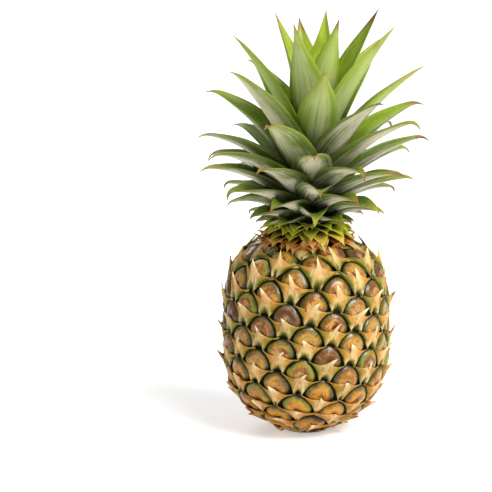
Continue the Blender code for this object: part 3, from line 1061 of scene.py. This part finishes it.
@dataclass
class Fruit:
    """The fruit: its eyes on one spiral, the dark skin between them, and its foot."""

    eyes: int = 121
    bare: int = 2
    first: float = radians(256.4)
    tone_spread: float = 0.24
    skin_sides: int = 96
    skin_rings: int = 90
    skin_depth: float = 0.0002
    bark_below: float = 0.006
    bark_above: float = 0.139
    stalk_radius: float = 0.0102
    stalk_depth: float = 0.0074
    skin: Skin = field(default_factory=Skin)

    def build(self) -> None:
        """Makes the domes, the bracts and the skin between them."""
        numbers = range(self.bare, self.eyes - self.bare)
        cells = [Eye(self.skin, number, self.eyes, self.first) for number in numbers]
        for cell in cells:
            cell.find_border(cells)
        rng = np.random.default_rng(RANDOM_SEED)
        domes, bracts = SheetMesh("eye_domes"), SheetMesh("eye_bracts")
        dome, star = Dome(), StarBract()
        for cell in cells:
            tone = float(np.clip(rng.normal(0.5, self.tone_spread), 0, 1))
            kind = (tone, cell.order, float(rng.random()))
            dome.add(domes, cell, kind, rng)
            star.add(bracts, cell, kind, rng)
        domes.finish(DomeFinish().make(), Slot.FRUIT, Node.FRUIT)
        bracts.finish(StarFinish().make(), Slot.FRUIT)
        self.build_skin()

    def build_skin(self) -> None:
        """Makes the dark skin under the eyes, the flat foot with its socket, and the flat top."""
        mesh = SheetMesh("groove_skin")
        angle = round_turn(self.skin_sides)
        s = np.linspace(0, self.skin.length, self.skin_rings)[:, None]
        wall = (self.stalk_radius, self.stalk_depth), (self.stalk_radius, 0.0)
        socket = turned(angle, (AXIS_RADIUS, self.stalk_depth), *wall)
        top = turned(angle, (AXIS_RADIUS, self.skin.profile[-1][0]))
        grid = np.vstack([socket, self.skin.surface(s, angle, -self.skin_depth), top])
        bark = (grid[..., 2] < self.bark_below) | (grid[..., 2] > self.bark_above)
        mesh.add(grid, stacked(bark, 0.0, 0.0), (0.0, 0.0, 0.0), closed=True)
        mesh.finish(SkinFinish().make(), Slot.FRUIT)


# The leaves


@dataclass
class Blade:
    """A channelled leaf, with the way it bends, widens, tapers and curls."""

    azimuth: float
    root_radius: float
    root_height: float
    length: float
    width: float
    lean: float
    lean_tip: float
    cup: float = 0.55
    cup_steep: float = 1.6
    stations: int = 30
    columns: int = 13
    coarse_stations: int = 6
    thickness: float = 0.0013
    edge_thickness: float = 0.0003
    thick_from: float = 0.003
    tip_width: float = 0.0005
    tip_loss: float = 0.35
    tip_span: Pair = (0.55, 0.97)
    widest_at: float = 0.22
    root_width: float = 0.78
    taper_late: float = 2.0
    bend_late: float = 1.4
    flatter_tip: float = 0.35
    curl: float = 0.0
    curl_from: float = 0.80
    curl_late: float = 1.2
    twist: float = 0.0
    twist_from: float = 0.3

    def half_width(self, t: np.ndarray) -> np.ndarray:
        """Finds half the leaf's width.

        Args:
            t: Shares of its length.

        Returns:
            The half widths there.
        """
        low = self.root_width + (1 - self.root_width) * np.sin(pi / 2 * np.minimum(1, t / self.widest_at))
        high = 1 - np.clip((t - self.widest_at) / (1 - self.widest_at), 0, 1) ** self.taper_late
        high = high * (1 - self.tip_loss * smooth_step(t, *self.tip_span))
        return np.maximum(self.width / 2 * np.where(t < self.widest_at, low, high), self.tip_width / 2)

    def add(self, mesh: SheetMesh, kind: Triple) -> None:
        """Adds the leaf's two faces as one closed skin.

        Args:
            mesh: What it is added to.
            kind: What the leaf's finish needs of the whole leaf.
        """
        t = np.linspace(0, 1, self.stations)
        late = np.clip(t - 0.5 / (self.coarse_stations - 1), 0, 1)
        angle = np.radians(self.lean + (self.lean_tip - self.lean) * late**self.bend_late)
        angle = angle + np.radians(self.curl) * smooth_step(t, self.curl_from, 1.0) ** self.curl_late
        out = np.array([cos(self.azimuth), sin(self.azimuth), 0.0])
        side = np.array([-sin(self.azimuth), cos(self.azimuth), 0.0])
        rise = np.array([0.0, 0.0, 1.0])
        along = np.sin(angle)[:, None] * out + np.cos(angle)[:, None] * rise
        inward = np.sin(angle)[:, None] * rise - np.cos(angle)[:, None] * out
        steps = along[:-1] * self.length / (self.stations - 1)
        root = out * self.root_radius + rise * self.root_height
        middle = root + np.vstack([np.zeros(3), np.cumsum(steps, axis=0)])
        turn = self.twist * smooth_step(t, self.twist_from, 1.0)[:, None]
        over = side * np.cos(turn) + inward * np.sin(turn)
        inward = inward * np.cos(turn) - side * np.sin(turn)
        half = self.half_width(t)[:, None, None]
        a = np.linspace(-1, 1, self.columns)[None, :, None]
        cupped = self.cup * (1 - self.flatter_tip * t)[:, None, None] * np.abs(a) ** self.cup_steep
        upper = middle[:, None] + over[:, None] * half * a + inward[:, None] * half * cupped
        depth = self.edge_thickness + (self.thickness - self.edge_thickness) * (1 - a**2)
        depth = depth * np.minimum(1.0, half / self.thick_from)
        lower = (upper - inward[:, None] * depth)[:, ::-1]
        grid = np.concatenate([upper, lower], axis=1)
        across = np.concatenate([a[0, :, 0], a[0, ::-1, 0]])
        outer = np.repeat([0.0, 1.0], self.columns)
        mesh.add(grid, stacked(t[:, None], across, outer), kind, closed=True, cap=Cap.LAST)


@dataclass
class Crown:
    """The leafy crown: its stem, and its leaves on one spiral with 5 turns to 13 leaves.

    Each row of growth gives a leaf's number, then its height on the stem, length, width, and its lean
    at the root and at the tip in degrees. The leaves between follow.
    """

    base: float = 0.1512
    stem_sides: int = 40
    stem_bottom: float = 0.0230
    stem_top: float = 0.0075
    stem_length: float = 0.0820
    leaves: int = 66
    front_leaf: int = 17
    leaf_root: float = 0.7
    lean: float = 0.07
    azimuth_spread: float = 4.0
    lean_spread: float = 3.0
    lean_tip_spread: float = 10.0
    length_spread: float = 0.06
    curl_range: Pair = (25.0, 105.0)
    curled_lean: Pair = (30.0, 95.0)
    twist_spread: float = 18.0
    growth: tuple[tuple[float, ...], ...] = (
        (0, 0.0044, 0.020, 0.015, 72, 112),
        (6, 0.0056, 0.025, 0.018, 72, 118),
        (12, 0.0078, 0.035, 0.021, 69, 122),
        (17, 0.0106, 0.049, 0.024, 65, 118),
        (24, 0.0147, 0.062, 0.026, 61, 110),
        (30, 0.0189, 0.074, 0.028, 57, 100),
        (37, 0.0238, 0.084, 0.030, 53, 95),
        (43, 0.0285, 0.090, 0.030, 50, 88),
        (50, 0.0390, 0.100, 0.031, 42, 72),
        (56, 0.0504, 0.107, 0.032, 32, 54),
        (61, 0.0625, 0.105, 0.032, 19, 30),
        (65, 0.0700, 0.094, 0.027, 7, 12),
    )

    def build(self) -> None:
        """Makes the stem and the leaves as one piece."""
        mesh = SheetMesh("crown_leaves")
        top = self.base + self.stem_length
        side = (self.stem_bottom, self.base), (self.stem_top, top)
        grid = turned(round_turn(self.stem_sides), (AXIS_RADIUS, self.base), *side, (AXIS_RADIUS, top))
        mesh.add(grid, np.zeros_like(grid), (0.5, 0.3, 0.5), closed=True)
        numbers, *columns = np.array(self.growth, float).T
        rng, looks = np.random.default_rng(LEAF_SEED), np.random.default_rng(RANDOM_SEED)
        for number in range(self.leaves):
            grown = (np.interp(number, numbers, column) for column in columns)
            height, length, width, lean, lean_tip = grown
            azimuth = -pi / 2 + (number - self.front_leaf) * LEAF_TURN
            azimuth += radians(vary(rng, self.azimuth_spread))
            length *= 1 + vary(rng, self.length_spread)
            lean += vary(rng, self.lean_spread)
            lean_tip += vary(rng, self.lean_tip_spread)
            radius = self.stem_bottom + (self.stem_top - self.stem_bottom) * height / self.stem_length
            root = (radius * self.leaf_root, self.base + height)
            leaf = Blade(azimuth, *root, length, width, lean, lean_tip)
            leaf.curl = looks.uniform(*self.curl_range) * smooth_step(lean_tip, *self.curled_lean)
            leaf.twist = radians(vary(looks, self.twist_spread))
            leaf.add(mesh, (looks.random(), number / (self.leaves - 1), looks.random()))
        for points in mesh.points:
            points[:, 0] += self.lean * np.maximum(0.0, points[:, 2] - self.base)
        mesh.finish(LeafFinish().make(), Slot.LEAF, Node.CROWN)


@dataclass
class BractRing:
    """One ring of small bracts round the neck."""

    count: int
    root_radius: float
    root_height: float
    length: float
    width: float
    lean: float
    lean_tip: float
    dryness: float
    first: float = -pi / 2
    azimuth_spread: float = 0.12
    spread: float = 0.28
    lean_spread: float = 14.0
    curl_range: Pair = (-25.0, 40.0)
    twist_spread: float = 25.0
    dryness_spread: float = 0.2
    cup: float = 0.3
    stations: int = 16
    columns: int = 9
    thickness: float = 0.0009
    taper_late: float = 1.25

    def add(self, mesh: SheetMesh, rng: np.random.Generator) -> None:
        """Adds the ring.

        Args:
            mesh: What it is added to.
            rng: The source of the bracts' differences.
        """
        for number in range(self.count):
            azimuth = self.first + number * 2 * pi / self.count
            leaf = Blade(
                azimuth + vary(rng, self.azimuth_spread),
                self.root_radius,
                self.root_height,
                self.length * (1 + vary(rng, self.spread)),
                self.width * (1 + vary(rng, self.spread)),
                self.lean + vary(rng, self.lean_spread),
                self.lean_tip + vary(rng, self.lean_spread),
                curl=rng.uniform(*self.curl_range),
                twist=radians(vary(rng, self.twist_spread)),
            )
            leaf.stations, leaf.columns, leaf.cup = self.stations, self.columns, self.cup
            leaf.taper_late, leaf.thickness = self.taper_late, self.thickness
            dryness = self.dryness + vary(rng, self.dryness_spread)
            leaf.add(mesh, (np.clip(dryness, 0, 1), rng.random(), rng.random()))


@dataclass
class Neck:
    """The short neck between fruit and crown, hidden by its bracts."""

    bottom: float = 0.1422
    top: float = 0.1508
    radius: float = 0.0235
    top_radius: float = 0.0230
    sides: int = 48
    rings: tuple[BractRing, ...] = (
        BractRing(21, 0.0300, 0.1398, 0.0120, 0.0070, 35, 75, 1.0),
        BractRing(19, 0.0260, 0.1425, 0.0130, 0.0090, 60, 105, 1.0, 0.1),
        BractRing(18, 0.0245, 0.1450, 0.0135, 0.0110, 88, 145, 1.0, 0.2),
        BractRing(17, 0.0240, 0.1482, 0.0140, 0.0120, 95, 158, 0.8, 0.3),
        BractRing(16, 0.0235, 0.1515, 0.0145, 0.0130, 95, 162, 0.3, 0.4),
        BractRing(16, 0.0225, 0.1548, 0.0150, 0.0135, 88, 156, 0.0, 0.5),
        BractRing(15, 0.0215, 0.1580, 0.0155, 0.0130, 76, 142, 0.0, 0.6),
    )

    def build(self) -> None:
        """Makes the neck and its rings of bracts as one piece."""
        mesh = SheetMesh("neck_bracts_fine")
        rng = np.random.default_rng(RANDOM_SEED)
        side = (self.radius, self.bottom), (self.top_radius, self.top)
        grid = turned(round_turn(self.sides), (AXIS_RADIUS, self.bottom), *side, (AXIS_RADIUS, self.top))
        mesh.add(grid, np.zeros_like(grid), (1.0, 0.5, 0.5), closed=True)
        for ring in self.rings:
            ring.add(mesh, rng)
        mesh.finish(PaperFinish().make(), Slot.BRACT, Node.NECK)


@dataclass
class CutStalk:
    """The stalk's cut end in the foot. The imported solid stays, with a finish of its own."""

    def dress(self) -> None:
        """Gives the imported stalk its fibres."""
        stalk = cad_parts[Node.STALK.value]
        stalk.data.materials.clear()
        stalk.data.materials.append(StalkFinish().make())
        log.info("%s: dressed as packed", stalk.name)


# The studio


@dataclass
class Lamp:
    """One soft lamp of the studio: where it stands, its size, power and colour."""

    name: str
    place: Triple
    size: float
    power: float
    colour: Colour = (1.0, 1.0, 1.0)
    aim: Triple = (0.0, 0.0, 0.14)

    def build(self) -> None:
        """Makes the lamp."""
        light = bpy.data.lights.new(self.name, "AREA")
        light.shape = "DISK"
        light.size = self.size
        light.energy = self.power
        light.color = self.colour
        lamp = add_object(self.name, light)
        lamp.location = self.place
        lamp.rotation_euler = (Vector(self.aim) - lamp.location).to_track_quat("-Z", "Y").to_euler()


@dataclass
class Studio:
    """A pale floor, soft light from above and the right, and the photograph's viewing angle."""

    elevation: float = radians(11.0)
    aim: Triple = (-0.0448, 0.0, 0.1383)
    distance: float = 2.2
    view_width: float = 0.364
    sensor: float = 36.0
    floor_half: float = 12.0
    floor_colour: Colour = (0.78, 0.78, 0.78)
    floor_glow: float = 0.44
    world_colour: Colour = (1.0, 1.0, 1.0)
    world_strength: float = 0.36
    sun_strength: float = 3.2
    sun_from: Triple = (0.68, -0.74, 1.10)
    sun_softness: float = radians(34.0)
    lamps: tuple[Lamp, ...] = (
        Lamp("rim", (0.9, -0.7, 1.1), 0.45, 9.0, (1.0, 0.97, 0.92)),
        Lamp("back", (-0.4, 1.2, 1.1), 0.8, 8.0),
    )

    def build(self) -> None:
        """Makes the floor, the world, the lamps and the camera."""
        self.build_floor()
        self.build_world()
        self.build_sun()
        self.build_camera()
        for lamp in self.lamps:
            lamp.build()

    def build_floor(self) -> None:
        """Makes the plain pale floor."""
        mesh = bpy.data.meshes.new("floor")
        half = self.floor_half
        corners = [(-half, -half, 0), (half, -half, 0), (half, half, 0), (-half, half, 0)]
        mesh.from_pydata(corners, [], [(0, 1, 2, 3)])
        paint = Shader("floor_paint", roughness=0.9)
        paint.set("Base Color", (*self.floor_colour, 1.0))
        paint.set("Emission Color", (1.0, 1.0, 1.0, 1.0))
        paint.set("Emission Strength", self.floor_glow)
        mesh.materials.append(paint.material)
        floor = add_object("floor", mesh)

    def build_world(self) -> None:
        """Makes the even white light all round."""
        world = bpy.data.worlds.new("studio")
        world.use_nodes = True
        sky = world.node_tree.nodes["Background"]
        sky.inputs["Color"].default_value = (*self.world_colour, 1.0)
        sky.inputs["Strength"].default_value = self.world_strength
        bpy.context.scene.world = world
        bpy.context.scene.view_settings.view_transform = "Standard"

    def build_sun(self) -> None:
        """Makes the soft main light, which falls evenly on the whole floor."""
        light = bpy.data.lights.new("main", "SUN")
        light.energy = self.sun_strength
        light.angle = self.sun_softness
        sun = add_object("main", light)
        sun.rotation_euler = Vector(self.sun_from).to_track_quat("Z", "Y").to_euler()

    def build_camera(self) -> None:
        """Makes the camera, which looks along +Y and slightly down."""
        data = bpy.data.cameras.new("camera")
        data.sensor_width = self.sensor
        data.lens = self.sensor * self.distance / self.view_width
        camera = add_object("camera", data)
        back = Vector((0.0, -cos(self.elevation), sin(self.elevation)))
        camera.location = Vector(self.aim) + back * self.distance
        camera.rotation_euler = (-back).to_track_quat("-Z", "Y").to_euler()
        bpy.context.scene.camera = camera


def main() -> None:
    """Builds the pineapple and the studio."""
    logging.basicConfig(level=logging.INFO, format="%(name)s %(message)s")
    Studio().build()
    Fruit().build()
    CutStalk().dress()
    Neck().build()
    Crown().build()
    bpy.context.view_layer.update()


if __name__ == "__main__":
    main()
